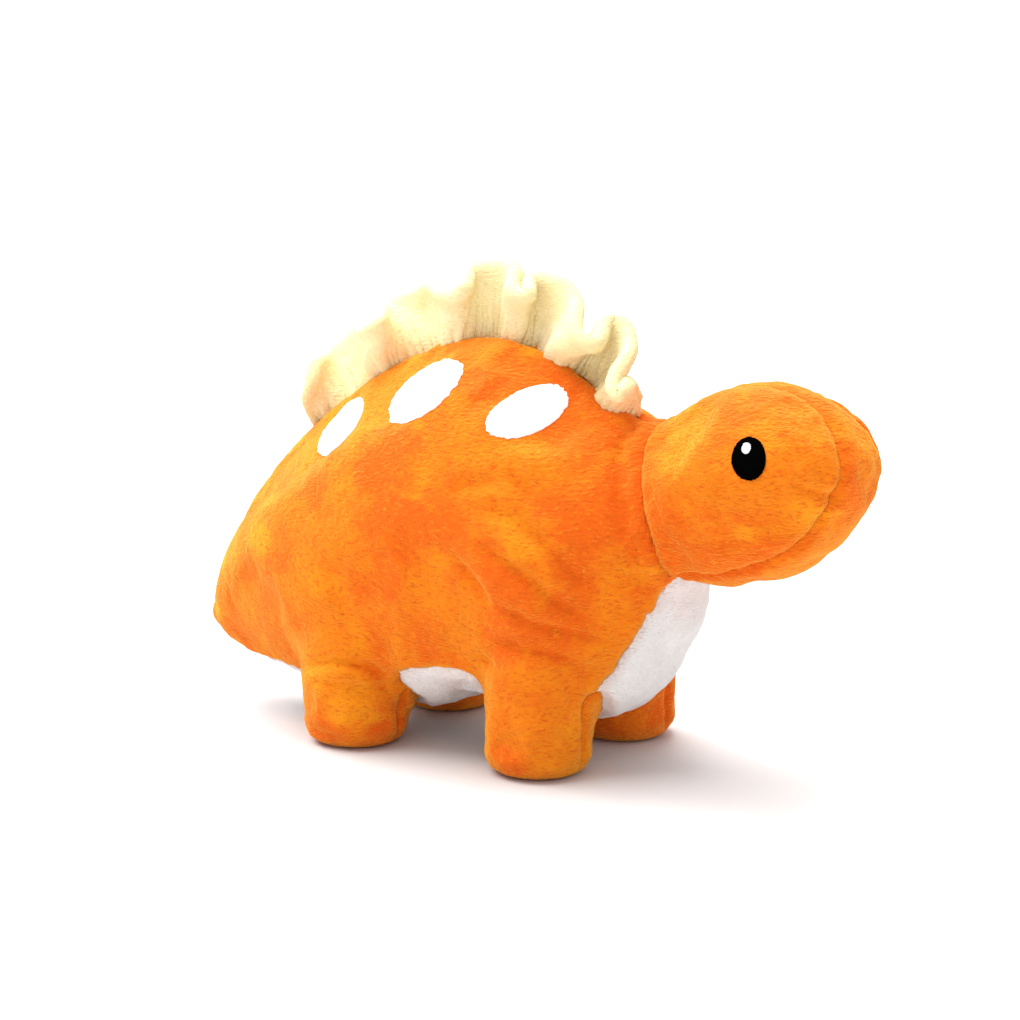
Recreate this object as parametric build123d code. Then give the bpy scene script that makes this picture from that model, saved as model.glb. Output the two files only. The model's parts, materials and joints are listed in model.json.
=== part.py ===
"""Stuffed dinosaur: sewn plush panels over loose fibre stuffing, with a soft neck.

Millimetres, +Z up, the head towards +X, the right side towards -Y. The origin is on the
surface that the toy stands on, under the middle of its length.
"""

import os
from math import cos, pi, radians, sin

from build123d import *

# Driving dimensions -----------------------------------------------------------------
CLOTH = 2.5  # thickness of the plush cloth with its pile
FELT = 1.2  # thickness of the felt spots and of the eye embroidery

# Cross-sections of the body and of the head, from back to front:
# position along X, top, bottom, half width, and the height where it is widest
BODY_SECTIONS = [
    (-170, 37.5, 35, 1.5, 36.2),
    (-163, 52, 32, 10, 40),
    (-151, 73, 28, 22, 48),
    (-135, 99, 23, 34, 57),
    (-114, 124, 19, 46, 65),
    (-89, 146, 15, 55, 70),
    (-59, 165, 12, 60, 72),
    (-29, 177, 16, 62, 73),
    (1, 179, 24, 61, 73),
    (29, 169, 18, 58, 72),
    (53, 154.5, 20, 49.5, 74),
    (71, 146, 34, 38, 82),
    (81, 130, 50, 28, 84),
    (87, 106, 64, 14, 84),
]
HEAD_SECTIONS = [
    (71, 141, 98, 21, 117),
    (78, 151, 88, 30, 118),
    (88, 159, 85, 35, 121),
    (101, 166, 84.5, 38.5, 124),
    (119, 170, 86, 39.5, 128),
    (136, 168.5, 89, 38, 131),
    (150, 163, 95, 33, 134),
    (161, 154, 106, 24, 136),
    (167.5, 145, 118, 14, 136),
    (170, 138, 130, 4, 135),
]

# Legs: name, centre along X, centre along Y
LEGS = [
    ("front_right", 33, -36),
    ("front_left", 33, 36),
    ("hind_right", -62, -37),
    ("hind_left", -62, 37),
]
LEG_FOOT_RADIUS = 23
LEG_TOP_RADIUS = 24.5
LEG_TOP = 64
LEG_FILLET = 5
LEG_SHOULDER = 21  # rounding of the leg's top, inside the body
SOLE = 3  # thickness of the round pad under each foot

# Neck: the centre that the head tips and turns about
NECK = (82, 0, 114)
NECK_LEAN = 15  # degrees that the neck's axis points up from level
NECK_SLOT = 10  # free cloth between the body's and the head's stiff edges
NECK_BALL_RADIUS = 27
NECK_BALL_CLEARANCE = 0.5

# Gathered strip along the back: it starts and ends at these X, and stands this tall
RUFFLE_START = -108
RUFFLE_END = 58
RUFFLE_HEIGHT = 33
RUFFLE_SWING = 8
RUFFLE_CLOTH = 6
RUFFLE_WAVES = 6
RUFFLE_OVERHANG = 5

# Felt spots on each side: centre along X, height, half length, half width, tilt in degrees
SPOTS = [
    (-74, 139, 14.5, 10, 40),
    (-27.4, 159, 19.4, 11, 25.5),
    (23, 154, 13, 9.8, 16),
]

# Eyes: the same five values, and those of the light mark in them
EYE = (132, 145, 8.6, 7.1, 118)
EYE_MARK = (130.8, 148.6, 2.2, 1.9, 118)

# Half width of the head's centre panel along X: above the nose, and below it
CROWN = [
    (60, 5),
    (100, 2.5),
    (124, 3),
    (138, 6),
    (147.5, 8.5),
    (156, 11.5),
    (163, 16.5),
    (166, 19.5),
    (172, 20),
]
CHIN = [(60, 16), (88, 19), (106, 22.5), (129, 25), (146, 24), (156, 21.5), (166, 19.5), (172, 20)]
NOSE_HEIGHT = 132  # where the two outlines meet
# Plan outline of the white belly panel: X and half width, from the tail to the throat
BELLY = [
    (-168, 2),
    (-140, 12),
    (-96, 28),
    (-84, 33),
    (-42, 33),
    (-30, 50),
    (-20, 56),
    (0, 56),
    (8, 51),
    (13, 36),
    (50, 31),
    (72, 30),
    (81, 25.5),
    (90, 13),
]
# Side outline that bounds the belly panel from above: X and height. It rises between the legs
BELLY_TOP = [
    (-172, 36),
    (-120, 44),
    (-60, 42),
    (-36, 34),
    (-28, 37.5),
    (-12, 41.5),
    (1, 41.5),
    (9, 36),
    (45, 46),
    (60, 66),
    (72, 110),
    (92, 120),
]

PAST = 300  # reach of a cutting shape past the toy
UNDER_EVERYTHING = [(PAST, 100), (PAST, -1), (-PAST, -1), (-PAST, 36)]


def section(x, top, bottom, half_width, waist):
    """One egg-shaped cross-section: two half ellipses that meet at its widest height."""
    plane = Plane(origin=(x, 0, waist), x_dir=(0, 1, 0), z_dir=(1, 0, 0))
    upper = EllipticalCenterArc((0, 0), half_width, top - waist, 0, arc_size=180)
    lower = EllipticalCenterArc((0, 0), half_width, waist - bottom, 180, arc_size=180)
    return plane * Wire([upper, lower])


def stuffed_form(sections, grow):
    """A smooth form through the cross-sections, grown (or shrunk) all round by a distance."""
    rows = [
        (x, top + grow, bottom - grow, half_width + grow, waist)
        for x, top, bottom, half_width, waist in sections
        if min(top - waist, waist - bottom, half_width) + grow > 0.5
    ]
    first, last = rows[0], rows[-1]
    rows[0] = (first[0] - grow, *first[1:])
    rows[-1] = (last[0] + grow, *last[1:])
    return Solid.make_loft([section(*row) for row in rows])


def leg_form(x, y, grow, bottom):
    """One leg: a slightly tapered column with a rounded foot."""
    height = LEG_TOP - bottom
    cone = Cone(
        LEG_FOOT_RADIUS + grow,
        LEG_TOP_RADIUS + grow,
        height,
        align=(Align.CENTER, Align.CENTER, Align.MIN),
    )
    foot_edge = cone.edges().sort_by(Axis.Z)[0]
    rounded = fillet(foot_edge, LEG_FILLET + grow)
    shoulder_edge = rounded.edges().filter_by(GeomType.CIRCLE).sort_by(Axis.Z)[-1]
    return Pos(x, y, bottom) * fillet(shoulder_edge, LEG_SHOULDER + grow)


def side_prism(points, half_depth):
    """An outline in the XZ plane, extruded both ways along Y."""
    face = Plane.XZ * make_face(Polyline(*points, close=True))
    return extrude(face, half_depth, both=True)


def plan_strip(points):
    """A strip symmetric about the toy's middle plane, given its half widths along X."""
    outline = [(x, half) for x, half in points]
    outline += [(x, -half) for x, half in reversed(points)]
    face = make_face(Polyline(*outline, close=True))
    return extrude(face, PAST, both=True)


def half_space(side):
    """Everything on one side of the toy's middle plane: side is 1 for left, -1 for right."""
    return Pos(0, side * PAST / 2, 0) * Box(2 * PAST, PAST, 2 * PAST)


def neck_plane_block(offset, forward):
    """Everything in front of (or behind) a plane across the neck."""
    direction = (cos(radians(NECK_LEAN)), 0, sin(radians(NECK_LEAN)))
    plane = Plane(origin=NECK, z_dir=direction)
    reach = PAST / 2 if forward else -PAST / 2
    return plane * Pos(0, 0, offset + reach) * Box(2 * PAST, 2 * PAST, PAST)


def solids_only(shape):
    """The shape as one compound of its solids, without chips."""
    smallest = 1.0
    kept = [solid for solid in shape.solids() if solid.volume > smallest]
    return kept[0] if len(kept) == 1 else Compound(kept)


def write(name, shape, colour):
    """Save one named piece."""
    piece = solids_only(shape)
    piece.label = name
    piece.color = Color(*colour)
    export_step(piece, f"parts/{name}.step")


ORANGE = (0.96, 0.48, 0.10)
WHITE = (0.90, 0.89, 0.88)
CREAM = (0.99, 0.93, 0.66)
BLACK = (0.03, 0.03, 0.03)
FIBRE = (0.93, 0.93, 0.94)


def build_body():
    """Body panels, legs, soles and their stuffing."""
    front = neck_plane_block(-NECK_SLOT / 2, forward=True)
    ball = Pos(*NECK) * Sphere(NECK_BALL_RADIUS + NECK_BALL_CLEARANCE)
    outer = stuffed_form(BODY_SECTIONS, 0) - front
    inner = stuffed_form(BODY_SECTIONS, -CLOTH) - front
    legs_outer = {name: leg_form(x, y, 0, 0) for name, x, y in LEGS}
    legs_inner = {name: leg_form(x, y, -CLOTH, SOLE) for name, x, y in LEGS}

    skin = outer
    for leg in legs_outer.values():
        skin = skin + leg
    skin = skin - inner
    for leg in legs_inner.values():
        skin = skin - leg

    sole_zone = Pos(0, 0, SOLE / 2) * Box(2 * PAST, PAST, SOLE)
    skin = skin - sole_zone
    for name, leg in legs_outer.items():
        write(f"foot_sole_{name}", leg & sole_zone, ORANGE)
        write(f"leg_stuffing_{name}", legs_inner[name] - inner, FIBRE)

    for name, x, y in LEGS:
        inward = 1 if y < 0 else -1
        depth = LEG_TOP_RADIUS + 1
        zone = Pos(x, y + inward * depth / 2, LEG_TOP / 2) * Box(2 * depth, depth, LEG_TOP)
        panel = (skin & legs_outer[name] & zone) - outer
        write(f"inner_leg_panel_{name}", panel, ORANGE)
        skin = skin - (zone - outer)

    skin = skin - ball
    belly_zone = plan_strip(BELLY) & side_prism([*BELLY_TOP, *UNDER_EVERYTHING], PAST)
    write("belly_panel", skin & belly_zone, WHITE)
    sides = skin - belly_zone
    write("body_side_panel_right", sides & half_space(-1), ORANGE)
    write("body_side_panel_left", sides & half_space(1), ORANGE)
    write("body_stuffing", inner - ball, FIBRE)
    return outer


def build_head():
    """Head panels, their stuffing, and the soft neck."""
    behind = neck_plane_block(NECK_SLOT / 2, forward=False)
    ball = Pos(*NECK) * Sphere(NECK_BALL_RADIUS + NECK_BALL_CLEARANCE)
    outer = stuffed_form(HEAD_SECTIONS, 0) - behind
    inner = stuffed_form(HEAD_SECTIONS, -CLOTH) - behind
    skin = outer - inner - ball
    above = Pos(0, 0, NOSE_HEIGHT + PAST / 2) * Box(2 * PAST, PAST, PAST)
    below = Pos(0, 0, NOSE_HEIGHT - PAST / 2) * Box(2 * PAST, PAST, PAST)
    centre_zone = (plan_strip(CROWN) & above) + (plan_strip(CHIN) & below)
    write("head_centre_panel", skin & centre_zone, ORANGE)
    sides = skin - centre_zone
    write("head_side_panel_right", sides & half_space(-1), ORANGE)
    write("head_side_panel_left", sides & half_space(1), ORANGE)
    write("head_stuffing", inner - ball, FIBRE)
    write("neck_stuffing", Pos(*NECK) * Sphere(NECK_BALL_RADIUS), FIBRE)
    return outer


def oval(x, z, half_long, half_short, tilt):
    """An oval seen from the side, extruded through the whole toy."""
    face = Plane.XZ * Pos(x, z) * Rot(0, 0, tilt) * Ellipse(half_long, half_short)
    return extrude(face, PAST, both=True)


def build_spots(body):
    """Three felt spots on each side, lying on the cloth."""
    shell = stuffed_form(BODY_SECTIONS, FELT) - body
    shell = shell - neck_plane_block(-NECK_SLOT / 2, forward=True)
    for number, spot in enumerate(SPOTS, start=1):
        patch = shell & oval(*spot)
        write(f"felt_spot_right_{number}", patch & half_space(-1), WHITE)
        write(f"felt_spot_left_{number}", patch & half_space(1), WHITE)


def build_eyes(head):
    """An embroidered eye on each side, with a small light mark set in it."""
    shell = stuffed_form(HEAD_SECTIONS, FELT) - head
    eyes = shell & oval(*EYE)
    mark = oval(*EYE_MARK)
    for side, name in ((-1, "right"), (1, "left")):
        write(f"eye_{name}", (eyes - mark) & half_space(side), BLACK)
        write(f"eye_light_mark_{name}", eyes & mark & half_space(side), WHITE)


def back_line():
    """The seam along the top of the body, as points (x, z) between the ruffle's ends."""
    ends = (RUFFLE_START, RUFFLE_END)
    ridge = [(x, top) for x, top, *_ in BODY_SECTIONS]
    inside = [(x, z) for x, z in ridge if ends[0] < x < ends[1]]
    tips = []
    for end in ends:
        spans = zip(ridge, ridge[1:])
        (x0, z0), (x1, z1) = next(span for span in spans if span[0][0] <= end <= span[1][0])
        tips.append((end, z0 + (z1 - z0) * (end - x0) / (x1 - x0)))
    return [tips[0], *inside, tips[1]]


def build_ruffle(body):
    """The gathered strip: a wave in plan that stands along the seam of the back."""
    steps = 8 * RUFFLE_WAVES
    length = RUFFLE_END - RUFFLE_START

    def wave(offset):
        points = []
        for i in range(steps + 1):
            x = RUFFLE_START + length * i / steps
            y = RUFFLE_SWING * sin(2 * pi * RUFFLE_WAVES * i / steps)
            points.append((x, y + offset))
        return points

    near, far = wave(-RUFFLE_CLOTH / 2), wave(RUFFLE_CLOTH / 2)
    near_edge, far_edge = Spline(*near), Spline(*far)
    ends = [Line(near[0], far[0]), Line(near[-1], far[-1])]
    plan = make_face([near_edge, far_edge, *ends])
    band = extrude(plan, PAST)

    seam = back_line()
    lower = Spline(*[(x, z - 1) for x, z in seam])
    middle = (RUFFLE_START + RUFFLE_END) / 2
    spread = 1 + 2 * RUFFLE_OVERHANG / length
    upper_points = [(middle + (x - middle) * spread, z + RUFFLE_HEIGHT) for x, z in seam]
    upper = Spline(*upper_points)
    sides = [Line(lower @ 0, upper @ 0), Line(lower @ 1, upper @ 1)]
    elevation = extrude(Plane.XZ * make_face([lower, upper, *sides]), PAST, both=True)
    write("back_ruffle", (band & elevation) - body, CREAM)


os.makedirs("parts", exist_ok=True)
body_form = build_body()
head_form = build_head()
build_spots(body_form)
build_eyes(head_form)
build_ruffle(body_form)
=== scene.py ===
"""A stuffed dinosaur: sewn plush panels over loose fibre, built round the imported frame.

The head points to +X and the right side to -Y. Lengths in the tables are millimetres, and MM
turns them into the scene's metres.
"""

import json
import math

import bmesh
import bpy
import numpy as np
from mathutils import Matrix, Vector, noise
from mathutils.bvhtree import BVHTree
from mathutils.kdtree import KDTree


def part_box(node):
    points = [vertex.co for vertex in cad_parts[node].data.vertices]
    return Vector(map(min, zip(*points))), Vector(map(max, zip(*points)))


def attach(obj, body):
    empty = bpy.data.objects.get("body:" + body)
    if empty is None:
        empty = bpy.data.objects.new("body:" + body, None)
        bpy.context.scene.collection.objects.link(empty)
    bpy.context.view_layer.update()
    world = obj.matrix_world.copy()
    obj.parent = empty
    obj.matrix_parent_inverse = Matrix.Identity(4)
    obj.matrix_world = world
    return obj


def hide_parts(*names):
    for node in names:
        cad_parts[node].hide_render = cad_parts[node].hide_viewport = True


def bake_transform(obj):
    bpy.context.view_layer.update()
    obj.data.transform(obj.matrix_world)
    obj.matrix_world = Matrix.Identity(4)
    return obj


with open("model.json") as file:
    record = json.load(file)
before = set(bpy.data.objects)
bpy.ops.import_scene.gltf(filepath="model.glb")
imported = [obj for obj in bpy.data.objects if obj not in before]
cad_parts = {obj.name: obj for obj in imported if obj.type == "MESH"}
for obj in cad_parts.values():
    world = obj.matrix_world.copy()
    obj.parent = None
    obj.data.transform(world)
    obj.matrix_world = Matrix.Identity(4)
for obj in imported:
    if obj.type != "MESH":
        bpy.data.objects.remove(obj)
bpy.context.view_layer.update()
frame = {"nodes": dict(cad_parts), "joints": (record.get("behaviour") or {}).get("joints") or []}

MM = 0.001
LEG_NAMES = ("front_right", "front_left", "hind_right", "hind_left")

# The neck's centre is the joints' own, and its plane leans as the CAD's does
NECK = np.array(frame["joints"][0]["pos_m"])
NECK_LEAN = math.radians(15)
NECK_AXIS = np.array([math.cos(NECK_LEAN), 0, math.sin(NECK_LEAN)])

# Seam outlines, close to the CAD's: the belly panel's half width and upper edge by X
BELLY = [(-168, 2), (-140, 12), (-96, 28), (-84, 33), (-42, 33), (-30, 50), (-20, 56), (0, 56),
         (8, 51), (13, 36), (50, 31), (72, 30), (81, 25.5), (90, 13)]
BELLY_TOP = [(-172, 36), (-120, 44), (-60, 42), (-36, 34), (-28, 37.5), (-12, 41.5), (1, 41.5),
             (9, 36), (45, 46), (60, 66), (72, 110), (92, 120)]
# Half width of the head's centre panel by the angle round the head, in degrees from the nose
GUSSET_CENTRE = (120, 130)
GUSSET = [(-180, 18), (-109, 21.5), (-75, 23), (-48, 21.5), (-31, 20), (-17, 20), (-3, 19.3),
          (8, 18), (19, 16.5), (37, 11.3), (50, 8.4), (64, 6), (84, 3), (110, 2.5), (150, 4)]
INNER_LEG_RADIUS = 28.5
INNER_LEG_TOP = 36
SOLE = 2.6

THROAT = 87  # lowest height of the cloth that crosses the neck
VOXEL = 2.6  # spacing of the remeshed skin before it is subdivided once
CLOTH = 1.6  # thickness of the plush cloth


# Mesh helpers ---------------------------------------------------------------------------


def points_of(mesh):
    """The mesh's vertices as rows of a table."""
    table = np.empty(len(mesh.vertices) * 3)
    mesh.vertices.foreach_get("co", table)
    return table.reshape(-1, 3)


def place(mesh, points):
    """Moves the mesh's vertices."""
    mesh.vertices.foreach_set("co", points.ravel())
    mesh.update()


def outward(mesh):
    """The mesh's vertex normals."""
    table = np.empty(len(mesh.vertices) * 3)
    mesh.vertex_normals.foreach_get("vector", table)
    return table.reshape(-1, 3)


def lumps(points, size, seed):
    """Smooth noise from about -1 to 1 at these points, with lumps of this size in mm."""
    spread = points / (size * MM) + seed * np.array([17.3, 9.1, 5.7])
    return np.array([noise.noise(p) for p in spread])


def show(name, mesh):
    """A new object in the scene."""
    item = bpy.data.objects.new(name, mesh)
    bpy.context.scene.collection.objects.link(item)
    return item


def mesh_from(name, points, faces):
    """A new smooth mesh."""
    mesh = bpy.data.meshes.new(name)
    mesh.from_pydata([tuple(p) for p in points], [], faces)
    mesh.shade_smooth()
    return mesh


def bake_modifiers(item):
    """Replaces an object's mesh by what its modifiers make of it."""
    view = bpy.context.evaluated_depsgraph_get()
    made = bpy.data.meshes.new_from_object(item.evaluated_get(view))
    item.modifiers.clear()
    item.data = made
    return item


def modify(item, kind, **settings):
    """Adds one modifier and applies it."""
    modifier = item.modifiers.new(kind.lower(), kind)
    for key, value in settings.items():
        setattr(modifier, key, value)
    return bake_modifiers(item)


KEEP_VOLUME = (0.5, -0.52)  # a step towards the neighbours, and one back out again
ROUND_OFF = (0.5,)  # steps towards the neighbours only


def smooth(mesh, rounds, steps=KEEP_VOLUME, share=1.0):
    """Moves vertices towards their neighbours' mean. share says how much each one takes part."""
    ends = np.empty(len(mesh.edges) * 2, int)
    mesh.edges.foreach_get("vertices", ends)
    first, second = ends[::2], ends[1::2]
    points = points_of(mesh)
    neighbours = np.bincount(ends, minlength=len(points))[:, None]
    share = np.broadcast_to(share, len(points))[:, None]
    for _ in range(rounds):
        for step in steps:
            total = np.zeros_like(points)
            for axis in range(3):
                total[:, axis] += np.bincount(first, points[second, axis], len(points))
                total[:, axis] += np.bincount(second, points[first, axis], len(points))
            points += share * step * (total / neighbours - points)
    place(mesh, points)


def biggest_island(mesh):
    """Drops everything but the largest connected part."""
    bm = bmesh.new()
    bm.from_mesh(mesh)
    left, islands = set(bm.verts), []
    while left:
        start = left.pop()
        island, edge_of_island = {start}, [start]
        while edge_of_island:
            vert = edge_of_island.pop()
            for edge in vert.link_edges:
                other = edge.other_vert(vert)
                if other in left:
                    left.discard(other)
                    island.add(other)
                    edge_of_island.append(other)
        islands.append(island)
    islands.sort(key=len)
    for island in islands[:-1]:
        bmesh.ops.delete(bm, geom=list(island), context="VERTS")
    bm.to_mesh(mesh)
    bm.free()


# Seams: each is the line on the skin where a distance is zero --------------------------------


def outline(at, table):
    """A table's value, in metres."""
    keys, values = zip(*table)
    return np.interp(at, keys, values) * MM


def before_neck(points):
    """Distance in front of the neck's plane."""
    return (points - NECK) @ NECK_AXIS


def from_middle(points):
    """Distance left of the toy's middle plane."""
    return points[:, 1].copy()


def above_sole(points):
    return points[:, 2] - SOLE * MM


def outside_belly(points):
    """Negative on the white belly panel."""
    aside = np.abs(points[:, 1]) - outline(points[:, 0] / MM, BELLY)
    above = points[:, 2] - outline(points[:, 0] / MM, BELLY_TOP)
    below = INNER_LEG_TOP * MM - points[:, 2]
    in_leg = [np.minimum(INNER_LEG_RADIUS * MM - from_leg(points, c), below)
              for c in leg_centres()]
    return np.maximum.reduce([aside, above] + in_leg)


def leg_centres():
    """Each leg's centre, from the soles of the frame."""
    for name in LEG_NAMES:
        low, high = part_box("foot_sole_" + name)
        yield (low + high) / 2


def from_leg(points, centre):
    """Distance from a leg's middle line."""
    return np.hypot(points[:, 0] - centre.x, points[:, 1] - centre.y)


def outside_inner_leg(points, centre):
    """Negative on the inner half of one leg."""
    outer = (points[:, 1] - centre.y) * math.copysign(1, centre.y)
    above = points[:, 2] - INNER_LEG_TOP * MM
    return np.maximum.reduce([from_leg(points, centre) - INNER_LEG_RADIUS * MM, outer, above])


def outside_inner_legs(points):
    return np.minimum.reduce([outside_inner_leg(points, c) for c in leg_centres()])


def outside_gusset(points):
    """Negative on the head's centre panel."""
    x, z = points[:, 0] / MM - GUSSET_CENTRE[0], points[:, 2] / MM - GUSSET_CENTRE[1]
    round_head = np.degrees(np.arctan2(z, x))
    return np.abs(points[:, 1]) - outline(round_head, GUSSET)


def cut_along(bm, distance):
    """Gives the mesh a row of edges where the distance is zero."""
    snap = 0.28  # a vertex this close to the line, as a share of its edge, moves onto it
    verts = list(bm.verts)
    values = distance(np.array([v.co for v in verts]))
    value = dict(zip(verts, values.tolist()))
    moves = {}
    for edge in bm.edges:
        a, b = edge.verts
        if value[a] * value[b] < 0:
            t = value[a] / (value[a] - value[b])
            if t < snap:
                moves.setdefault(a, a.co.lerp(b.co, t))
            elif t > 1 - snap:
                moves.setdefault(b, a.co.lerp(b.co, t))
    for vert, target in moves.items():
        vert.co = target
        value[vert] = 0.0
    for edge in list(bm.edges):
        a, b = edge.verts
        if value[a] * value[b] < 0:
            _, made = bmesh.utils.edge_split(edge, a, value[a] / (value[a] - value[b]))
            value[made] = 0.0
    for face in list(bm.faces):
        on_line = [v for v in face.verts if value[v] == 0.0]
        if len(on_line) == 2:
            a, b = on_line
            if not any(edge.other_vert(a) is b for edge in a.link_edges):
                bmesh.utils.face_split(face, a, b)


PANELS = ["body_side_panel_right", "body_side_panel_left", "belly_panel", "head_centre_panel",
          "head_side_panel_right", "head_side_panel_left"]
SIDE_RIGHT, SIDE_LEFT, BELLY_PANEL, HEAD_CENTRE, HEAD_RIGHT, HEAD_LEFT = range(len(PANELS))
FIRST_INNER_LEG = len(PANELS)
PANELS += ["inner_leg_panel_" + name for name in LEG_NAMES]
FIRST_SOLE = len(PANELS)
PANELS += ["foot_sole_" + name for name in LEG_NAMES]
FOOT_REACH = 30  # a sole's faces lie within this distance of its leg's middle, in mm


def panel_at(points):
    """Which panel each point of the skin lies on, by its place in PANELS."""
    left = points[:, 1] > 0
    head = before_neck(points) > 0
    panel = np.where(left, SIDE_LEFT, SIDE_RIGHT)
    panel[outside_belly(points) < 0] = BELLY_PANEL
    for number, centre in enumerate(leg_centres()):
        panel[outside_inner_leg(points, centre) < 0] = FIRST_INNER_LEG + number
        in_sole = (above_sole(points) < 0) & (from_leg(points, centre) < FOOT_REACH * MM)
        panel[in_sole] = FIRST_SOLE + number
    panel[head] = np.where(left[head], HEAD_LEFT, HEAD_RIGHT)
    panel[head & (outside_gusset(points) < 0)] = HEAD_CENTRE
    return panel


# The skin ---------------------------------------------------------------------------------


def skin_form():
    """One closed form of the frame's cloth and stuffing, with cloth across the neck."""
    bm = bmesh.new()
    soft = [n for n in frame["nodes"] if "panel" in n or "sole" in n or "stuffing" in n]
    for node in sorted(soft):
        bm.from_mesh(frame["nodes"][node].data)
    table = np.array([v.co for v in bm.verts])
    rim = table[(np.abs(before_neck(table)) < 8 * MM) & (table[:, 2] > THROAT * MM)]
    sleeve = bmesh.new()
    for point in rim[:: max(1, len(rim) // 4000)]:
        sleeve.verts.new(point)
    hull = bmesh.ops.convex_hull(sleeve, input=sleeve.verts)
    unused = [v for v in hull["geom_interior"] if isinstance(v, bmesh.types.BMVert)]
    bmesh.ops.delete(sleeve, geom=unused, context="VERTS")
    part = bpy.data.meshes.new("sleeve")
    sleeve.to_mesh(part)
    sleeve.free()
    bm.from_mesh(part)
    form = bpy.data.meshes.new("skin")
    bm.to_mesh(form)
    bm.free()
    return form


CHIN_BACK, CHIN_LENGTH = 112, 50  # where the trim starts along the head, and its reach forward
CHIN_TOP, CHIN_HEIGHT = 158, 62  # where it starts in height, and its reach down
CHIN_IN, CHIN_NARROW, CHIN_UP = 6.5, 0.08, 4.0  # full trim: mm back, share narrower, mm up


def trim_chin(mesh):
    """Draws the underside of the nose back and up."""
    points = points_of(mesh)
    x, z = points[:, 0] / MM, points[:, 2] / MM
    forward = np.clip((x - CHIN_BACK) / CHIN_LENGTH, 0, 1)
    share = forward * np.clip((CHIN_TOP - z) / CHIN_HEIGHT, 0, 1) ** 1.6
    points[:, 0] -= CHIN_IN * MM * share
    points[:, 1] *= 1 - CHIN_NARROW * share
    points[:, 2] += CHIN_UP * MM * share
    place(mesh, points)


def near_ground(points, height, fade):
    """1 at the ground, 0 from this height up."""
    return np.clip((height - points[:, 2] / MM) / fade, 0, 1)


SIM_FRAMES = 20
SIM_CAP = 3.2  # farthest that the cloth may move, in mm
SIM_CAP_HEAD = 0.6  # share of that on the head
SEAMS = [before_neck, from_middle, above_sole, outside_belly, outside_inner_legs, outside_gusset]


def puff(skin):
    """Lets the cloth swell a little against its seams, and wrinkle where it is held."""
    points = points_of(skin.data)
    nearest = np.full(len(points), 1.0)
    head = before_neck(points) > 0
    for distance in SEAMS:
        if distance is above_sole:
            continue
        value = np.abs(distance(points))
        if distance is outside_gusset:
            value[~head] = 1
        if distance in (from_middle, outside_belly, outside_inner_legs):
            value[head] = 1
        nearest = np.minimum(nearest, value)
    held = np.maximum(np.clip(1.4 - nearest / (3 * MM), 0, 1), near_ground(points, 12, 6))
    held = np.maximum(held, 0.04)
    group = skin.vertex_groups.new(name="held")
    steps = 20
    for step in range(1, steps + 1):
        chosen = np.nonzero(np.round(held * steps) == step)[0]
        group.add(chosen.tolist(), step / steps, "REPLACE")
    cloth = skin.modifiers.new("cloth", "CLOTH")
    cloth.point_cache.frame_start, cloth.point_cache.frame_end = 1, SIM_FRAMES
    settings = cloth.settings
    settings.quality = 4
    settings.mass = 0.2
    settings.tension_stiffness = settings.compression_stiffness = 12
    settings.shear_stiffness = 6
    settings.bending_stiffness = 0.35
    settings.shrink_min = -0.035
    settings.use_pressure = True
    settings.uniform_pressure_force = 4
    settings.vertex_group_mass = "held"
    settings.effector_weights.gravity = 0
    scene = bpy.context.scene
    for number in range(1, SIM_FRAMES + 1):
        scene.frame_set(number)
    view = bpy.context.evaluated_depsgraph_get()
    swollen = points_of(skin.evaluated_get(view).to_mesh())
    skin.modifiers.clear()
    skin.vertex_groups.clear()
    scene.frame_set(1)
    move = swollen - points
    length = np.linalg.norm(move, axis=1, keepdims=True)
    cap = SIM_CAP * MM * np.where(head, SIM_CAP_HEAD, 1)[:, None]
    move *= cap * np.tanh(length / cap) / np.maximum(length, 1e-9)
    move *= (1 - near_ground(points, 8, 8))[:, None]
    place(skin.data, points + move)


# Creases of the right side: depth, width, and the points along them
CREASES = [
    (2.6, 2.4, [(-78, -59, 35), (-61, -60, 40.5), (-52, -59, 41), (-43, -54, 38.5),
                (-33, -50, 32)]),
    (1.8, 2.2, [(-70, -59, 30), (-56, -59, 31), (-44, -52, 30), (-34, -46, 29)]),
    (1.3, 2.2, [(-62, -59, 24), (-48, -56, 26), (-36, -48, 25)]),
    (1.4, 2.2, [(-78, -54, 9), (-68, -59, 7.5), (-56, -59, 7)]),
    (3.0, 2.8, [(22, -53, 117), (34, -51, 111.5), (42, -50, 106), (50, -48, 98), (60, -46, 86)]),
    (3.4, 3.0, [(18, -58, 101), (28, -56, 96), (36, -55, 91), (44, -53, 85), (51, -50, 78),
                (62, -45, 70)]),
    (2.4, 2.6, [(26, -58, 76), (36, -56, 72.5), (44, -53, 69), (54, -48, 66), (66, -41, 61)]),
    (2.0, 2.8, [(26, -48, 131), (33, -48, 125), (40, -48, 116)]),
    (1.8, 2.8, [(4, -60, 95), (13, -59, 88), (22, -58, 77)]),
    (1.4, 2.6, [(2, -60, 122), (12, -57, 126), (22, -53, 127)]),
    (1.5, 2.6, [(10, -57, 52), (22, -57, 49), (34, -55, 50)]),
    (2.6, 2.2, [(151, -33, 136), (157.5, -27, 132.5), (161, -24, 130), (165, -21, 126.5)]),
    (1.2, 2.0, [(153, -28, 142), (158, -24, 140), (162, -20, 139)]),
]
# Dimples: depth, radius, centre
DIMPLES = [
    (1.3, 6, (152, -21, 155)),
    (1.2, 5, (151, -29, 146)),
    (0.9, 6, (140, -15, 165)),
    (1.0, 7, (38, -48, 122)),
    (0.9, 8, (108, -38, 118)),
]
SEAM_DEPTH = 2.0
SEAM_WIDTH = 2.0


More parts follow.
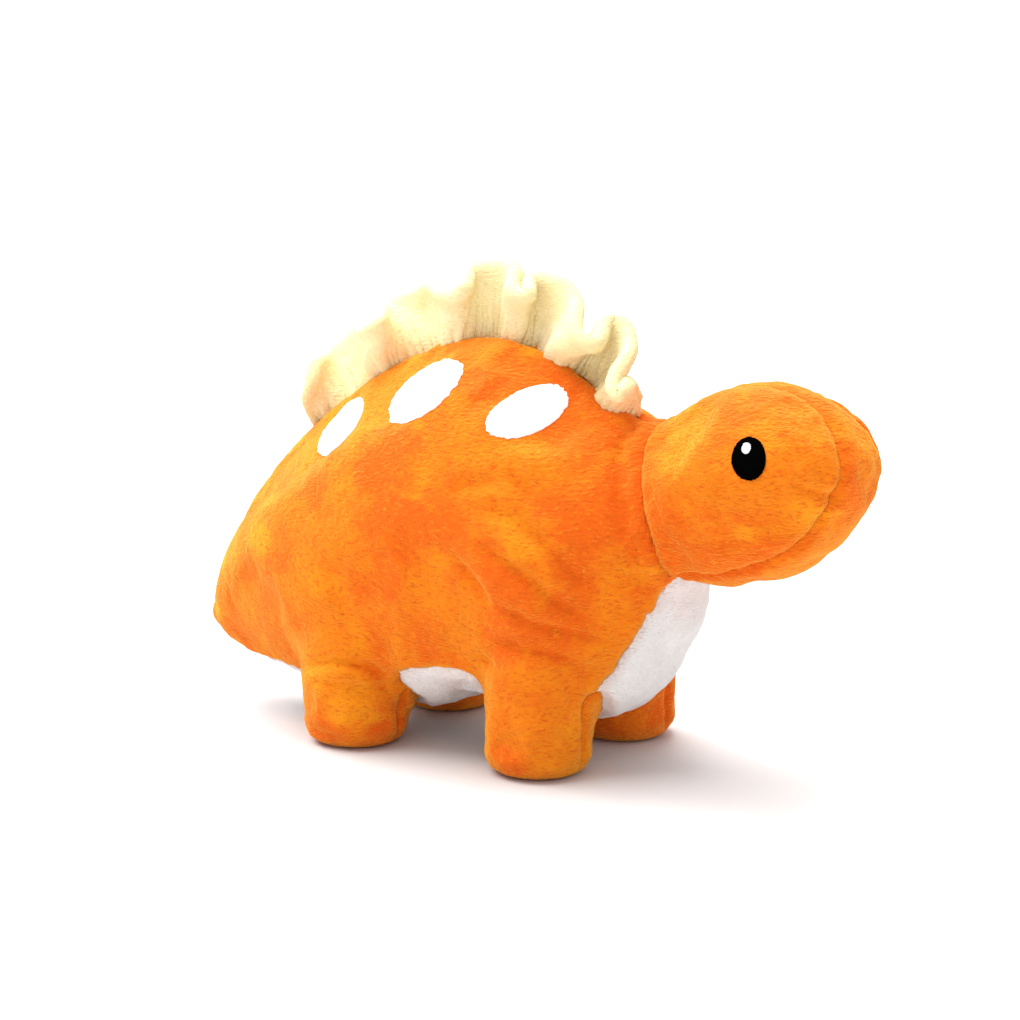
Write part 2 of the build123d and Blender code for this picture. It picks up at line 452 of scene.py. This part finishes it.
def along_seams(mesh):
    """True at the vertices where two panels meet."""
    corner = np.empty(len(mesh.loops), int)
    mesh.loops.foreach_get("vertex_index", corner)
    size = np.empty(len(mesh.polygons), int)
    mesh.polygons.foreach_get("loop_total", size)
    panel = np.empty(len(mesh.polygons), int)
    mesh.polygons.foreach_get("material_index", panel)
    panel = np.repeat(panel, size)
    low = np.full(len(mesh.vertices), len(PANELS))
    high = np.full(len(mesh.vertices), -1)
    np.minimum.at(low, corner, panel)
    np.maximum.at(high, corner, panel)
    return low != high


def distance_to_seam(points, on_seam):
    """How far each vertex is from the nearest seam vertex."""
    chosen = np.nonzero(on_seam)[0]
    tree = KDTree(len(chosen))
    for number, index in enumerate(chosen):
        tree.insert(points[index], number)
    tree.balance()
    return np.array([tree.find(p)[2] for p in points])


def crease(points, route):
    """Each point's distance to a crease's line, and how far along it that is, from 0 to 1.

    Distance straight in or out of the side counts less, because the skin isn't quite as the line.
    """
    flatten = np.array([1, 0.35, 1])
    route = np.array(route) * MM * flatten
    points = points * flatten
    best = np.full(len(points), 1.0)
    along = np.zeros(len(points))
    spans = len(route) - 1
    for number, (a, b) in enumerate(zip(route, route[1:])):
        span = b - a
        t = np.clip(((points - a) @ span) / (span @ span), 0, 1)
        away = np.linalg.norm(points - a - t[:, None] * span, axis=1)
        closer = away < best
        best[closer] = away[closer]
        along[closer] = (number + t[closer]) / spans
    return best, along


def fold(away, width):
    """The section of a crease: a groove between two soft shoulders."""
    w = width * MM
    return np.exp(-((away / w) ** 2)) - 0.3 * np.exp(-(((away - 2.5 * w) / (1.7 * w)) ** 2))


def sculpt(mesh):
    """Seam grooves and puckers, creases, dimples and the unevenness of loose filling."""
    points, normals = points_of(mesh), outward(mesh)
    away = distance_to_seam(points, along_seams(mesh))
    uneven = 1 + 0.35 * lumps(points, 9, 1)
    uneven *= np.clip((points[:, 2] / MM - 4) / 6, 0, 1)
    crown = np.clip((172 - points[:, 2] / MM) / 20, 0.2, 1)
    uneven *= np.where(before_neck(points) > 4 * MM, crown, 1)
    push = -SEAM_DEPTH * fold(away, SEAM_WIDTH) * uneven
    push += 0.75 * lumps(points, 6.5, 2) * np.exp(-((away / (6 * MM)) ** 2))
    push += 0.9 * lumps(points, 42, 3) + 0.45 * lumps(points, 17, 4) + 0.16 * lumps(points, 5, 5)
    for mirror, strength, shift in ((1, 1.0, 0.0), (-1, 0.75, 5.0)):
        for depth, width, route in CREASES:
            line = [(x - shift, y * mirror, z + 0.6 * shift) for x, y, z in route]
            gap, along = crease(points, line)
            fade = np.sqrt(np.clip(4 * along * (1 - along), 0, 1)) * 0.85 + 0.15
            push -= strength * depth * fade * fold(gap, width)
        for depth, radius, (x, y, z) in DIMPLES:
            gap = np.linalg.norm(points - np.array([x - shift, y * mirror, z]) * MM, axis=1)
            push -= strength * depth * np.exp(-((gap / (radius * MM)) ** 2))
    push *= 1 - near_ground(points, 3.5, 3)
    points += normals * (push * MM)[:, None]
    points[:, 2] = np.maximum(points[:, 2], 0.3 * MM)
    place(mesh, points)


def build_skin():
    """The whole skin as one mesh, with each face's panel in its material index."""
    skin = show("skin", skin_form())
    trim_chin(skin.data)
    modify(skin, "REMESH", mode="VOXEL", voxel_size=VOXEL * MM)
    biggest_island(skin.data)
    smooth(skin.data, 6)
    points = points_of(skin.data)
    corner = np.zeros(len(points))
    for centre in leg_centres():
        radius = from_leg(points, centre) / MM
        ring = np.exp(-(((radius - 27) / 7) ** 2)) * np.clip((points[:, 2] / MM - 9) / 6, 0, 1)
        corner = np.maximum(corner, ring * (points[:, 2] < 50 * MM))
    neck = np.exp(-((before_neck(points) / (17 * MM)) ** 2))
    foot = 0.7 * near_ground(points, 9, 3)
    smooth(skin.data, 20, ROUND_OFF, np.clip(np.maximum.reduce([corner, neck, foot]), 0, 1))
    puff(skin)
    smooth(skin.data, 1)
    bm = bmesh.new()
    bm.from_mesh(skin.data)
    for distance in SEAMS:
        cut_along(bm, distance)
    bm.to_mesh(skin.data)
    bm.free()
    number_panels(skin.data)
    for _ in PANELS:
        skin.data.materials.append(None)
    modify(skin, "SUBSURF", levels=1, render_levels=1)
    sculpt(skin.data)
    return skin


def number_panels(mesh):
    """Writes each face's panel into its material index."""
    centre = np.empty(len(mesh.polygons) * 3)
    mesh.polygons.foreach_get("center", centre)
    mesh.polygons.foreach_set("material_index", panel_at(centre.reshape(-1, 3)).astype(np.int32))


def split_panels(skin):
    """One object for each panel, with the cloth's thickness."""
    points = points_of(skin.data)
    faces = {number: [] for number in range(len(PANELS))}
    for polygon in skin.data.polygons:
        faces[polygon.material_index].append(tuple(polygon.vertices))
    pieces = {}
    for number, name in enumerate(PANELS):
        used = sorted({v for face in faces[number] for v in face})
        new = {old: i for i, old in enumerate(used)}
        own = [tuple(new[v] for v in face) for face in faces[number]]
        piece = show(name + "_cloth", mesh_from(name, points[used], own))
        modify(piece, "SOLIDIFY", thickness=CLOTH * MM, offset=-1, use_rim=True)
        pieces[name] = piece
    return pieces


# Pieces on the skin -------------------------------------------------------------------------


def bend_body(piece):
    """Bakes the piece's placement into its mesh."""
    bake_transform(piece)


def bend_head(piece):
    """Bakes the piece's placement into its mesh."""
    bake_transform(piece)


# Ovals seen from the side: centre along X, height, half length, half width, tilt in degrees
SPOTS = [(-74, 139, 14.5, 10, 40), (-27.4, 159, 19.4, 11, 25.5), (23, 154, 13, 9.8, 16)]
SPOT_CUTS = [(21, 34), (24, 42), (21, 35)]
EYE = (132, 145, 8.6, 7.1, 118)
EYE_MARK = (130.8, 148.6, 2.2, 1.9, 118)


def oval_on(tree, name, oval, side, height, ragged, rings=14, around=96):
    """A closed oval patch on the skin. height gives its thickness by distance from its centre."""
    x0, z0, half_long, half_short, tilt = oval
    turn = math.radians(tilt)
    top, bottom = [], []
    for ring in range(rings + 1):
        r = math.sin(ring / rings * math.pi / 2)
        for i in range(around):
            angle = 2 * math.pi * i / around
            rough = 1 + ragged * noise.noise((math.cos(angle) * 9, math.sin(angle) * 9, x0)) * r
            u = half_long * r * rough * math.cos(angle)
            v = half_short * r * rough * math.sin(angle)
            x = x0 + u * math.cos(turn) - v * math.sin(turn)
            z = z0 + u * math.sin(turn) + v * math.cos(turn)
            start = Vector((x * MM, side * 0.2, z * MM))
            hit, normal, _, _ = tree.ray_cast(start, Vector((0, -side, 0)))
            top.append(hit + normal * (height(r) * MM))
            bottom.append(hit - normal * (0.6 * MM))
            if ring == 0:
                break
    count = len(top)

    def index(ring, i):
        return 0 if ring == 0 else 1 + (ring - 1) * around + i % around

    faces = []
    for ring in range(rings):
        for i in range(around):
            corners = [index(ring, i), index(ring + 1, i), index(ring + 1, i + 1),
                       index(ring, i + 1)]
            cell = list(dict.fromkeys(corners))
            faces.append(cell)
            faces.append([count + c for c in reversed(cell)])
    for i in range(around):
        a, b = index(rings, i), index(rings, i + 1)
        faces.append([a, count + a, count + b, b])
    mesh = mesh_from(name, top + bottom, faces)
    bm = bmesh.new()
    bm.from_mesh(mesh)
    bmesh.ops.recalc_face_normals(bm, faces=bm.faces)
    bm.to_mesh(mesh)
    bm.free()
    return show(name, mesh)


def felt_height(r):
    """Felt lies flat, and is pressed down at its edge."""
    return 0.35 + 0.75 * (1 - r**10)


def eye_height(r):
    """Satin stitch is crowned over its padding."""
    return 0.25 + 1.5 * math.sqrt(max(0.0, 1 - r**3))


def mark_height(r):
    return 1.55 + 0.5 * math.sqrt(max(0.0, 1 - r**2))


# The gathered strip of the back. Its folds to the left in order: place from 0 to 1 along the seam,
# the wave's number, its swing and its height
RUFFLE_START, RUFFLE_END = -104, 59
RUFFLE_FOLDS = [(0, -0.4, 0.9, 0.95), (0.13, 0.25, 1.0, 1.0), (0.36, 1.25, 0.95, 0.98),
                (0.555, 2.25, 1.0, 1.12), (0.68, 3.25, 0.98, 1.04), (0.84, 4.25, 1.02, 1.0),
                (1, 5.15, 0.95, 0.85)]
RUFFLE_HEIGHT = 29
RUFFLE_TURN = (52, 94)  # how far the strip's line swings from the seam, low and high, in degrees
RUFFLE_HALF = 2.5  # half of its thickness, from one layer's outside to the other's
RUFFLE_ALONG, RUFFLE_UP = 440, 26
RUFFLE_CLOTH = 1.3
RUFFLE_ROOT = 2.5  # how far its lower edge reaches into the seam
RUFFLE_LENGTH = 450  # of the cut strip
RUFFLE_OPEN = 0.45  # how much wider the folds to the left are than those to the right
RUFFLE_SKEW = 0.62  # how far the folds slant from straight across the seam


def ridge_line(tree):
    """Points along the skin's top in the middle plane, closely spaced, between the strip's ends."""
    line = []
    for x in np.linspace(RUFFLE_START, RUFFLE_END, 80):
        heights = []
        for y in (-4.5, 4.5):
            hit, _, _, _ = tree.ray_cast(Vector((x * MM, y * MM, 0.4)), Vector((0, 0, -1)))
            heights.append(hit.z)
        line.append((x * MM, np.mean(heights)))
    line = np.array(line)
    for _ in range(6):
        line[1:-1] = (line[:-2] + 2 * line[1:-1] + line[2:]) / 4
    return line


def ruffle_surface(tree):
    """The middle surface of the strip: a table of points by place along it and height."""
    ridge = ridge_line(tree)
    steps = np.linalg.norm(np.diff(ridge, axis=0), axis=1)
    run = np.concatenate([[0], np.cumsum(steps)])
    places, waves, swings, heights = zip(*RUFFLE_FOLDS)
    t = np.linspace(0, 1, RUFFLE_ALONG)
    phase, swing, tall = (np.interp(t, places, column) for column in (waves, swings, heights))
    grid = np.zeros((RUFFLE_ALONG, RUFFLE_UP, 3))
    for level in range(RUFFLE_UP):
        v = level / (RUFFLE_UP - 1)
        opened = v**0.6
        turn = np.radians(RUFFLE_TURN[0] + (RUFFLE_TURN[1] - RUFFLE_TURN[0]) * opened) * swing
        lean = 0.2 * np.sin(phase * 2.1 + 4 * v) + RUFFLE_OPEN * np.cos(2 * np.pi * phase)
        heading = turn * np.tanh(1.4 * np.cos(2 * np.pi * phase + lean)) / math.tanh(1.4)
        forward, aside = np.cumsum(np.cos(heading)), np.cumsum(np.sin(heading))
        forward = (forward - forward[0]) / (forward[-1] - forward[0])
        aside -= np.linspace(aside[0], aside[-1], RUFFLE_ALONG)
        per_step = run[-1] / (np.cos(heading).sum())
        aside = (aside - aside.mean()) * per_step
        s = forward * run[-1]
        inside = np.clip(s, 2 * MM, run[-1] - 2 * MM)
        ahead, behind = (np.stack([np.interp(inside + step, run, ridge[:, 0]),
                                   np.interp(inside + step, run, ridge[:, 1])], 1)
                         for step in (2 * MM, -2 * MM))
        along = ahead - behind
        along /= np.linalg.norm(along, axis=1, keepdims=True)
        base = (ahead + behind) / 2 + along * (s - inside)[:, None]
        up = np.stack([-along[:, 1], along[:, 0]], 1)
        ends = np.clip(np.minimum(t, 1 - t) / 0.05, 0, 1)
        splay = aside / np.abs(aside).max()
        rise = 0.92 + (0.30 * splay - 0.09 * splay**2) * v
        sunk = RUFFLE_ROOT * (1 - v)
        reach = (RUFFLE_HEIGHT * v * tall * np.sqrt(ends) * rise - sunk) * MM
        aside = aside * (0.72 + 0.1 * v * v)
        flop = 0.004 * v**2 * np.sin(phase * 3.3 + 1) - RUFFLE_SKEW * aside * v
        flop -= 0.003 * v**2 * np.exp(-((t / 0.12) ** 2))
        grid[:, level, 0] = base[:, 0] + up[:, 0] * reach + along[:, 0] * flop
        grid[:, level, 1] = aside + 0.002 * v * np.sin(phase * 5.1)
        grid[:, level, 2] = base[:, 1] + up[:, 1] * reach + along[:, 1] * flop
    return grid


def build_ruffle(tree):
    """The strip folded double: up one side, over the top fold and down the other."""
    middle = ruffle_surface(tree)
    along = np.gradient(middle, axis=0)
    up = np.gradient(middle, axis=1)
    normal = np.cross(along, up)
    normal /= np.linalg.norm(normal, axis=2, keepdims=True)
    v = np.linspace(0, 1, RUFFLE_UP)
    half = RUFFLE_HALF * (0.5 + 0.35 * np.clip(v / 0.35, 0, 1)) * MM
    half *= 1 + 0.45 * np.exp(-(((v - 0.9) / 0.12) ** 2))
    fold_start = 1 - 1.4 * RUFFLE_HALF / RUFFLE_HEIGHT
    over = np.clip((v - fold_start) / (1 - fold_start), 0, 1)
    half = half * np.sqrt(1 - over**2)
    near = middle + normal * half[None, :, None]
    far = middle - normal * half[None, :, None]
    sheet = np.concatenate([near, far[:, -2::-1]], axis=1)
    rows = sheet.shape[1]
    points = sheet.reshape(-1, 3)
    faces = [
        (i * rows + j, (i + 1) * rows + j, (i + 1) * rows + j + 1, i * rows + j + 1)
        for i in range(RUFFLE_ALONG - 1)
        for j in range(rows - 1)
    ]
    piece = show("back_ruffle_cloth", mesh_from("back_ruffle", points, faces))
    mesh = piece.data
    smooth(mesh, 2)
    moved, normals = points_of(mesh), outward(mesh)
    rise = np.tile(np.concatenate([v, v[-2::-1]]), RUFFLE_ALONG)
    run = np.repeat(np.linspace(0, RUFFLE_LENGTH * MM, RUFFLE_ALONG), rows)
    pleat = np.stack([run, 0 * run, rise * 5 * MM], 1)
    gathers = lumps(pleat, 3.4, 7) * np.clip(1 - 1.3 * rise, 0, 1) * 2.4
    soft = 0.55 * lumps(moved, 8, 8) + 0.2 * lumps(moved, 3, 9)
    place(mesh, moved + normals * ((gathers + soft) * MM)[:, None])
    modify(piece, "SOLIDIFY", thickness=RUFFLE_CLOTH * MM, offset=0, use_rim=True)
    return piece


def build_stuffing(node):
    """Loose fibre: the frame's solid, drawn in from the cloth and made lumpy."""
    piece = show(node + "_fibre", frame["nodes"][node].data.copy())
    trim_chin(piece.data)
    modify(piece, "REMESH", mode="VOXEL", voxel_size=4 * MM)
    biggest_island(piece.data)
    smooth(piece.data, 4)
    points, normals = points_of(piece.data), outward(piece.data)
    drawn = 2.6 - 1.2 * lumps(points, 11, 11) - 0.5 * lumps(points, 5, 12)
    drawn += 5 * np.exp(-((before_neck(points) / (26 * MM)) ** 2))
    place(piece.data, points - normals * (drawn * MM)[:, None])
    piece.data.shade_smooth()
    return piece


# Materials ------------------------------------------------------------------------------------


class Finish:
    """A material with a Principled shader, and short calls that add nodes to it."""

    def __init__(self, name, **inputs):
        self.material = bpy.data.materials.new(name)
        self.material.use_nodes = True
        self.nodes = self.material.node_tree.nodes
        self.links = self.material.node_tree.links
        self.surface = self.nodes["Principled BSDF"]
        self.place = self.add("TexCoord").outputs["Object"]
        for socket, value in inputs.items():
            self.surface.inputs[socket.replace("_", " ")].default_value = value

    def add(self, kind, inputs=None, **settings):
        node = self.nodes.new("ShaderNode" + kind)
        for key, value in settings.items():
            setattr(node, key, value)
        for key, value in (inputs or {}).items():
            self.put(node.inputs[key], value)
        return node

    def put(self, socket, value):
        if isinstance(value, bpy.types.NodeSocket):
            self.links.new(value, socket)
        else:
            socket.default_value = value

    def warped(self, amount, size):
        """The place, pushed about by soft noise so that straight patterns wander."""
        drift = self.add("TexNoise", {"Vector": self.place, "Scale": 1 / size, "Detail": 1.0})
        middle = (0.5, 0.5, 0.5)
        off = self.add("VectorMath", {0: drift.outputs["Color"], 1: middle}, operation="SUBTRACT")
        by = self.add("VectorMath", {0: off.outputs[0], "Scale": amount}, operation="SCALE")
        return self.add("VectorMath", {0: self.place, 1: by.outputs[0]}, operation="ADD").outputs[0]

    def grain(self, size, detail=2.0, stretch=(1, 1, 1), place=None, roughness=0.5):
        """Noise with features of this size in metres."""
        mapped = self.add("Mapping", {"Vector": place or self.place, "Scale": stretch})
        inputs = {"Vector": mapped.outputs[0], "Scale": 1 / size, "Detail": detail,
                  "Roughness": roughness}
        return self.add("TexNoise", inputs).outputs["Fac"]

    def ramp(self, value, low, high):
        """Stretches a value so that low becomes 0 and high becomes 1."""
        inputs = {"Value": value, "From Min": low, "From Max": high}
        return self.add("MapRange", inputs, interpolation_type="SMOOTHSTEP").outputs[0]

    def mix(self, share, first, second, blend="MIX"):
        node = self.add("Mix", data_type="RGBA", blend_type=blend)
        for number, value in ((0, share), (6, first), (7, second)):
            self.put(node.inputs[number], value)
        return node.outputs[2]

    def bump(self, layers):
        """Stacks bumps: each is height, distance in metres and strength."""
        normal = None
        for height, distance, strength in layers:
            inputs = {"Height": height, "Distance": distance, "Strength": strength}
            if normal is not None:
                inputs["Normal"] = normal
            normal = self.add("Bump", inputs).outputs[0]
        self.links.new(normal, self.surface.inputs["Normal"])

    def colour(self, value):
        self.put(self.surface.inputs["Base Color"], value)
        return self.material


def plush(name, deep, middle, pale_and_highlight, pile_shade, sheen, tint, pile=1.0):
    """Short-pile plush: streaks of lying pile, soft clumps and slow drifts of tone, with painted
    shade where the streaks lie low and a painted highlight where they stand high.
    """
    f = Finish(name, Roughness=0.85, Sheen_Weight=sheen, Sheen_Roughness=0.45, Sheen_Tint=tint)
    f.surface.inputs["Specular IOR Level"].default_value = 0.12
    wander = f.warped(0.006, 0.02)
    streaks = f.grain(0.0011 * pile, 2.5, (0.4, 0.4, 1.0), wander, 0.6)
    tufts = f.grain(0.0007 * pile, 2.0, (0.7, 0.7, 1.0), wander, 0.6)
    clumps = f.grain(0.009, 2.0)
    drifts = f.grain(0.040, 3.0, roughness=0.6)
    tone = f.mix(f.ramp(drifts, 0.42, 0.60), deep, middle)
    tone = f.mix(f.ramp(f.grain(0.025, 3.0, (0.7, 0.7, 1.2)), 0.52, 0.72), tone, pale_and_highlight)
    # Painted shade: the colour darkens where the streaks' bump is low.
    tone = f.mix(f.ramp(streaks, 0.52, 0.22), tone, pile_shade)
    # Painted highlight: the pale colour is laid where the streaks' bump is high.
    tone = f.mix(f.ramp(streaks, 0.54, 0.85), tone, pale_and_highlight)
    f.bump([(clumps, 0.0010, 0.25), (streaks, 0.0015 * pile, 0.9), (tufts, 0.0006 * pile, 0.7)])
    return f.colour(tone)


def felt(name, light, dark):
    """Pressed felt: short tangled fibres with no direction."""
    f = Finish(name, Roughness=0.95, Sheen_Weight=0.15, Sheen_Roughness=0.6)
    fibres = f.grain(0.0006, 4.0, (1, 1, 1), f.warped(0.004, 0.004), 0.7)
    blots = f.grain(0.004, 2.0)
    f.bump([(blots, 0.0006, 0.2), (fibres, 0.0003, 0.5)])
    both = f.add("Math", {0: fibres, 1: blots}, operation="MULTIPLY").outputs[0]
    return f.colour(f.mix(f.ramp(both, 0.15, 0.32), dark, light))


def satin(name, light, dark, shine):
    """Satin stitch: fine parallel threads with a soft gloss."""
    f = Finish(name, Roughness=0.7)
    f.surface.inputs["Specular IOR Level"].default_value = shine
    wander = f.warped(0.0012, 0.006)
    across = f.add("Mapping", {"Vector": wander, "Scale": (0.05, 0.05, 1.0)}).outputs[0]
    wave = {"Vector": across, "Scale": 380.0, "Distortion": 1.5, "Detail": 2.0}
    threads = f.add("TexWave", wave, bands_direction="Z").outputs["Fac"]
    f.bump([(threads, 0.0002, 0.4)])
    return f.colour(f.mix(threads, dark, light))


def fibre_fill(name):
    """White polyester fibre."""
    f = Finish(name, Roughness=0.9, Sheen_Weight=0.4)
    strands = f.grain(0.0012, 4.0, (1, 0.3, 1), f.warped(0.02, 0.01), 0.7)
    f.bump([(strands, 0.0015, 0.8)])
    return f.colour(f.mix(strands, (0.72, 0.73, 0.76, 1), (0.93, 0.93, 0.94, 1)))


# In each plush the darkest colour is painted shade in the low streaks of the pile, and the pale
# colour is used both in random patches and as a painted highlight on the high streaks.
MATERIALS = {
    "plush_orange": plush(
        "plush_orange", deep=(0.78, 0.116, 0.004, 1), middle=(0.82, 0.192, 0.005, 1),
        pale_and_highlight=(0.86, 0.265, 0.007, 1), pile_shade=(0.70, 0.092, 0.003, 1), sheen=0.6,
        tint=(1.0, 0.72, 0.12, 1)),
    "plush_white": plush(
        "plush_white", deep=(0.78, 0.76, 0.75, 1), middle=(0.81, 0.795, 0.785, 1),
        pale_and_highlight=(0.84, 0.83, 0.82, 1), pile_shade=(0.74, 0.71, 0.70, 1), sheen=0.15,
        tint=(1, 1, 1, 1), pile=0.8),
    "plush_cream": plush(
        "plush_cream", deep=(0.86, 0.73, 0.38, 1), middle=(0.89, 0.79, 0.46, 1),
        pale_and_highlight=(0.91, 0.83, 0.53, 1), pile_shade=(0.84, 0.70, 0.36, 1), sheen=0.2,
        tint=(1, 0.95, 0.7, 1), pile=0.75),
    "felt_white": felt("felt_white", light=(0.90, 0.90, 0.89, 1), dark=(0.78, 0.77, 0.75, 1)),
    "thread_black": satin("thread_black", light=(0.0015, 0.0015, 0.0015, 1),
                          dark=(0.0005, 0.0005, 0.0005, 1), shine=0.0),
    "thread_white": satin("thread_white", light=(0.88, 0.88, 0.87, 1),
                          dark=(0.70, 0.70, 0.68, 1), shine=0.4),
    "fibre_fill": fibre_fill("fibre_fill"),
}


# Putting it together --------------------------------------------------------------------------


def dress(piece, slot, *nodes):
    """Gives a piece the material named by slot, and hides the CAD nodes that it stands for."""
    piece.data.materials.clear()
    piece.data.materials.append(MATERIALS[slot])
    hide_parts(*nodes)
    return piece


def build_toy():
    skin = build_skin()
    faces = [tuple(polygon.vertices) for polygon in skin.data.polygons]
    tree = BVHTree.FromPolygons(points_of(skin.data).tolist(), faces)
    for name, piece in split_panels(skin).items():
        dress(piece, "plush_white" if name == "belly_panel" else "plush_orange", name)
        if name.startswith("head"):
            bend_head(piece)
        elif name in ("belly_panel", "body_side_panel_right", "body_side_panel_left"):
            bend_body(piece)
        else:
            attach(piece, "body")
    bpy.data.objects.remove(skin)

    ruffle = dress(build_ruffle(tree), "plush_cream", "back_ruffle")
    bend_body(ruffle)

    for side, side_name in ((-1, "right"), (1, "left")):
        for number, (oval, cut) in enumerate(zip(SPOTS, SPOT_CUTS), start=1):
            node = f"felt_spot_{side_name}_{number}"
            spot = oval_on(tree, node + "_felt", oval, side, felt_height, 0.05)
            dress(spot, "felt_white", node)
            bend_body(spot)
        eye = oval_on(tree, f"eye_{side_name}_stitching", EYE, side, eye_height, 0.035, 24, 160)
        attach(dress(eye, "thread_black", "eye_" + side_name), "head")
        mark = oval_on(tree, f"eye_light_mark_{side_name}_stitching", EYE_MARK, side,
                       mark_height, 0.12, 8, 48)
        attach(dress(mark, "thread_white", "eye_light_mark_" + side_name), "head")

    fillings = {"body_stuffing": "body", "neck_stuffing": "neck", "head_stuffing": "head"}
    fillings.update({"leg_stuffing_" + name: "body" for name in LEG_NAMES})
    for node, body in fillings.items():
        filling = dress(build_stuffing(node), "fibre_fill", node)
        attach(filling, body)


# Stage ------------------------------------------------------------------------------------------

CAMERA_TARGET = Vector((-0.0045, 0, 0.104))
CAMERA_AZIMUTH, CAMERA_ELEVATION = math.radians(32.5), math.radians(11)
CAMERA_DISTANCE = 1.25
SENSOR, LENS = 36, 100.27
SKY_LIGHT, SKY_SEEN = 0.82, 1.05
KEY = (-95, 66, 5.3, 65)  # azimuth, elevation, strength, softness in degrees
RIM = (-130, 42, 2.4, 70)


def aimed(item, position, target):
    """Puts a lamp or camera somewhere, pointing at a target."""
    item.location = position
    item.rotation_euler = (Vector(target) - Vector(position)).to_track_quat("-Z", "Y").to_euler()


def build_camera():
    data = bpy.data.cameras.new("camera")
    data.sensor_width, data.lens = SENSOR, LENS
    camera = show("camera", data)
    level = math.cos(CAMERA_ELEVATION)
    away = Vector((math.sin(CAMERA_AZIMUTH) * level, -math.cos(CAMERA_AZIMUTH) * level,
                   math.sin(CAMERA_ELEVATION)))
    aimed(camera, CAMERA_TARGET + away * CAMERA_DISTANCE, CAMERA_TARGET)
    bpy.context.scene.camera = camera


def build_sun(name, azimuth, elevation, strength, softness):
    """Soft distant light. Azimuth is the side that it comes from, counted from -Y towards +X."""
    data = bpy.data.lights.new(name, "SUN")
    data.energy, data.angle = strength, math.radians(softness)
    a, e = math.radians(azimuth), math.radians(elevation)
    source = (math.sin(a) * math.cos(e), -math.cos(a) * math.cos(e), math.sin(e))
    aimed(show(name, data), source, (0, 0, 0))


def build_stage():
    """A white floor, a white sky that lights softly, and a strong soft light from above."""
    finish = Finish("floor_white", Roughness=0.9)
    speckle = finish.grain(0.02, 2.0)
    finish.colour(finish.mix(speckle, (0.60, 0.60, 0.60, 1), (0.62, 0.62, 0.62, 1)))
    size = 6
    corners = [(-size, -size, 0), (size, -size, 0), (size, size, 0), (-size, size, 0)]
    floor = show("floor", mesh_from("floor", corners, [(0, 1, 2, 3)]))
    floor.data.materials.append(finish.material)
    world = bpy.data.worlds.new("studio")
    bpy.context.scene.world = world
    world.use_nodes = True
    nodes, links = world.node_tree.nodes, world.node_tree.links
    path = nodes.new("ShaderNodeLightPath")
    strength = nodes.new("ShaderNodeMapRange")
    strength.inputs["To Min"].default_value = SKY_LIGHT
    strength.inputs["To Max"].default_value = SKY_SEEN
    links.new(path.outputs["Is Camera Ray"], strength.inputs["Value"])
    links.new(strength.outputs[0], nodes["Background"].inputs["Strength"])
    nodes["Background"].inputs["Color"].default_value = (1, 1, 1, 1)
    build_sun("key", *KEY)
    build_sun("rim", *RIM)
    bpy.context.scene.view_settings.view_transform = "Standard"


build_camera()
build_stage()
build_toy()
